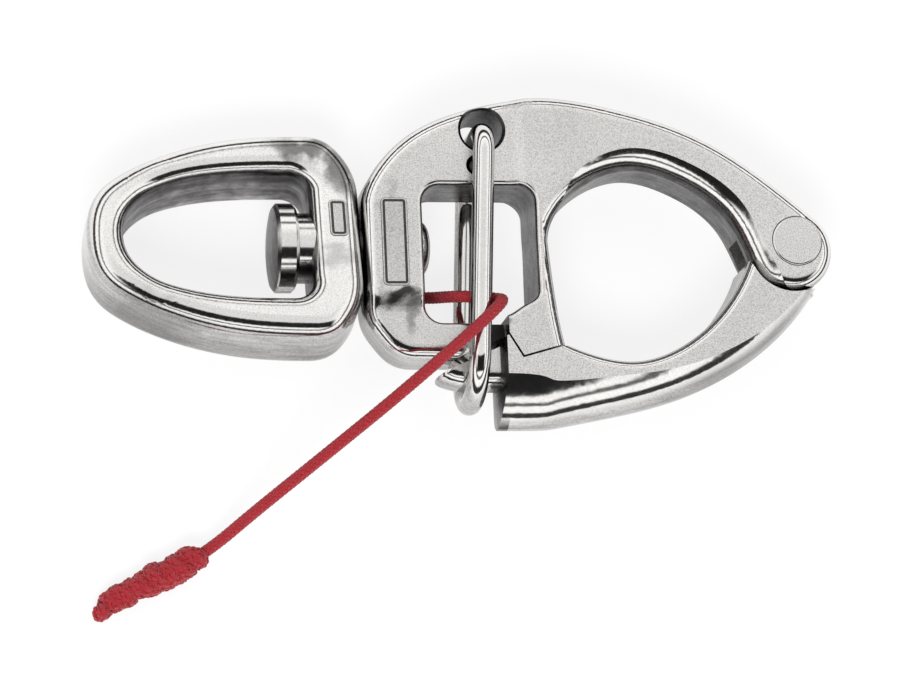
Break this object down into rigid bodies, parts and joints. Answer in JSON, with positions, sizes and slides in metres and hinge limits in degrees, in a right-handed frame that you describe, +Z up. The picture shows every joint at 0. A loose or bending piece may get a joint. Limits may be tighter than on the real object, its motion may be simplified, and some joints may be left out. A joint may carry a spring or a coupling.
{
  "type": "swivel snap hook",
  "caption": "Stainless steel quick-release snap hook with a swivel eye, a pivoting gate held by a wire trigger ring, and a red pull cord.",
  "frame": {"origin": "centre of the hook's box, on the surface it lies on (cord and knot left out)", "axes": "+X along the swivel axis from the eye to the gate pivot, +Y towards the trigger ring's hinge, +Z up from the surface"},
  "size_m": [0.09, 0.0611, 0.016],
  "materials": {
    "forged_steel": "polished forged stainless steel",
    "wire_steel": "bright drawn stainless wire",
    "pin_steel": "turned stainless steel",
    "red_cord": "fine braided cord"
  },
  "bodies": {
    "shackle": {"shackle_body": "forged_steel", "gate_rivet": "pin_steel", "swivel_pin": "pin_steel", "detent_ball_front": "pin_steel", "detent_ball_rear": "pin_steel", "detent_spring": "wire_steel", "lanyard": "red_cord", "lanyard_knot": "red_cord"},
    "gate": {"gate": "forged_steel"},
    "trigger": {"trigger_ring": "wire_steel"},
    "eye": {"swivel_eye": "forged_steel"}
  },
  "joints": [
    {"name": "gate_pivot", "type": "hinge", "parent": "shackle", "child": "gate", "pos_m": [0.0405, 0.00213, 0.00705], "axis": [0, 0, 1], "range_deg": [0, 95]},
    {"name": "trigger_swing", "type": "hinge", "parent": "shackle", "child": "trigger", "pos_m": [0.0026, 0.01547, 0.00705], "axis": [0, 0, 1], "range_deg": [-9.5, 0]},
    {"name": "eye_swivel", "type": "hinge", "parent": "shackle", "child": "eye", "pos_m": [-0.0123, 0.00213, 0.00705], "axis": [1, 0, 0], "continuous": true}
  ]
}
